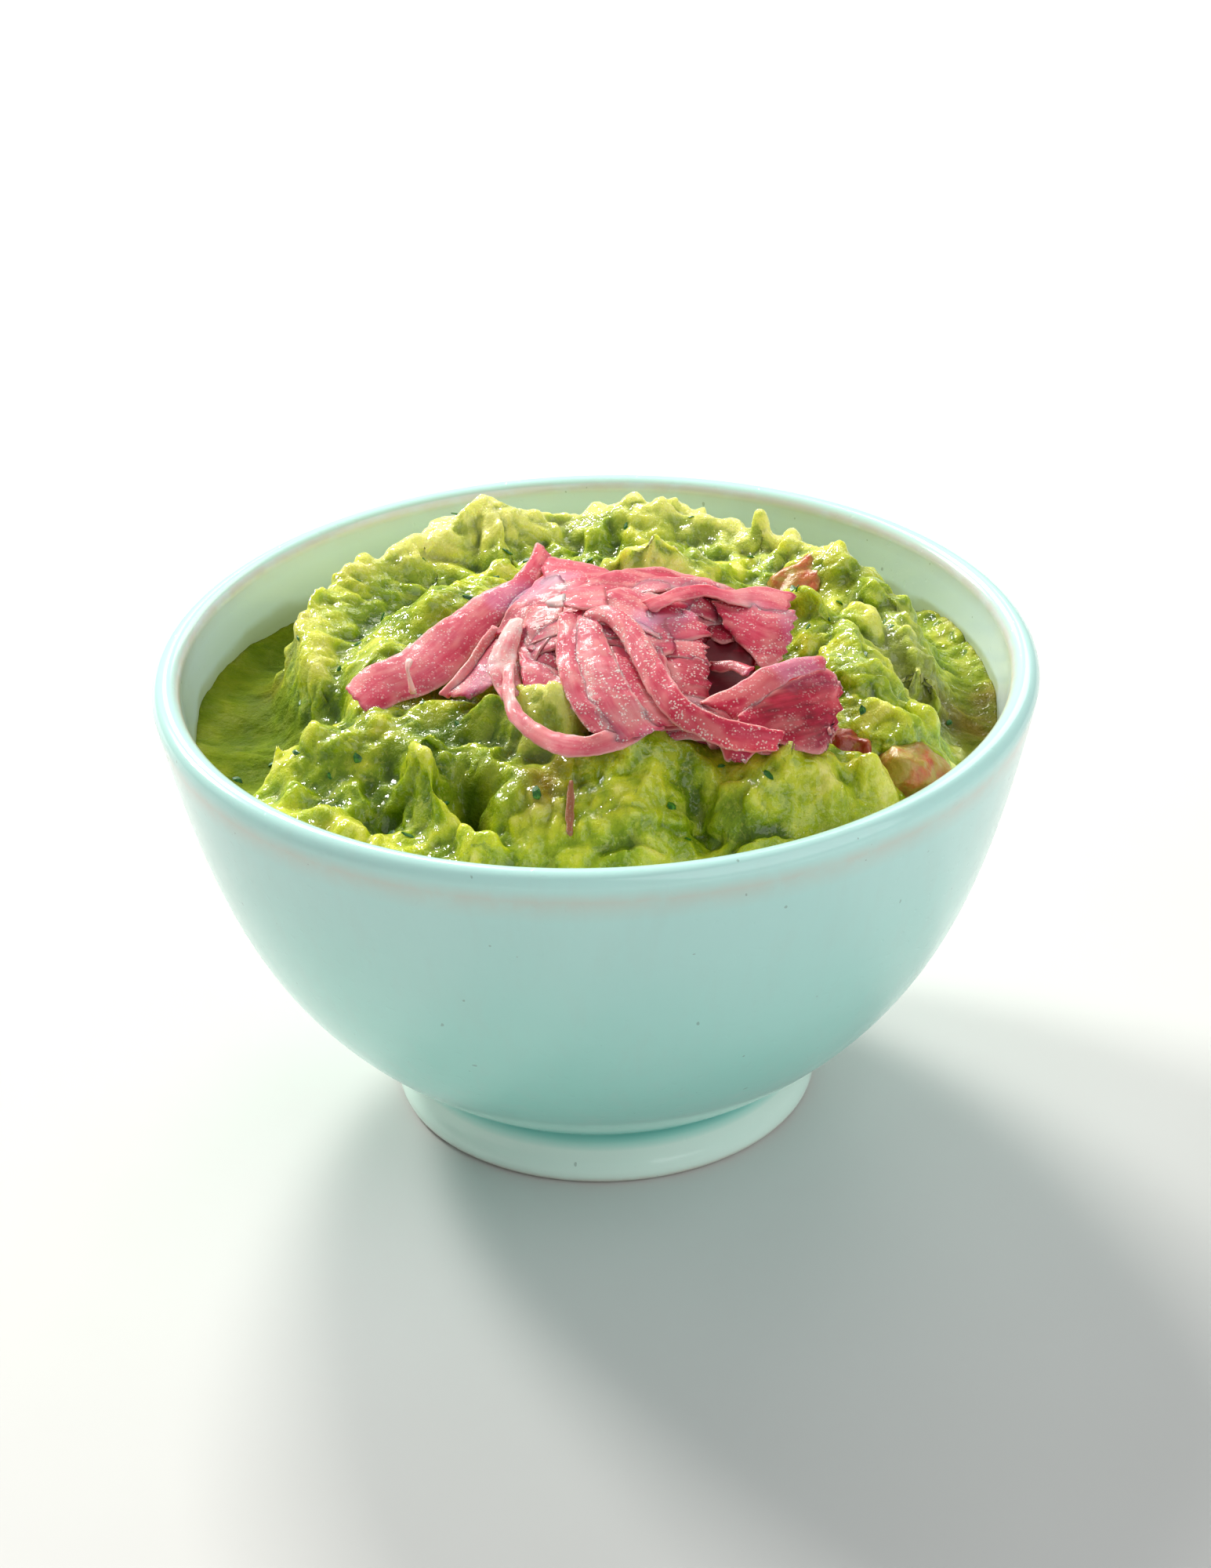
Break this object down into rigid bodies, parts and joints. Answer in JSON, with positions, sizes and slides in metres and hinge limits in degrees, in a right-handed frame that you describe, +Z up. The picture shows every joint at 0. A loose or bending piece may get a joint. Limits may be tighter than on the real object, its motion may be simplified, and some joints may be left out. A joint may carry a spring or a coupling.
{
  "type": "bowl of guacamole",
  "caption": "Footed glazed bowl heaped with chunky guacamole, tomato dice and chopped herb in it, pickled red onion strips on top.",
  "frame": {"origin": "centre of the foot ring's underside, on the surface that the bowl stands on", "axes": "+Z up along the bowl's axis; -Y is the front, where the open onion ring lies; +X is to the right seen from the front"},
  "size_m": [0.13, 0.13, 0.0893],
  "materials": {
    "celadon_glaze": "glossy pale blue-green glaze, beige where it runs thin at the lip and foot, deeper teal in the groove above the foot",
    "guacamole": "wet coarse avocado mash, yellow-green lumps and deeper green crevices",
    "tomato": "wet translucent diced tomato, smeared with mash",
    "pickled_onion": "moist translucent pink strips with paler ribs and edges",
    "herb": "moist chopped dark green herb"
  },
  "bodies": {
    "root": {"bowl": "celadon_glaze", "guacamole": "guacamole", "tomato_dice_back": "tomato", "tomato_dice_right": "tomato", "tomato_dice_front": "tomato", "tomato_dice_left": "tomato", "pickled_onion": "pickled_onion"}
  },
  "joints": []
}
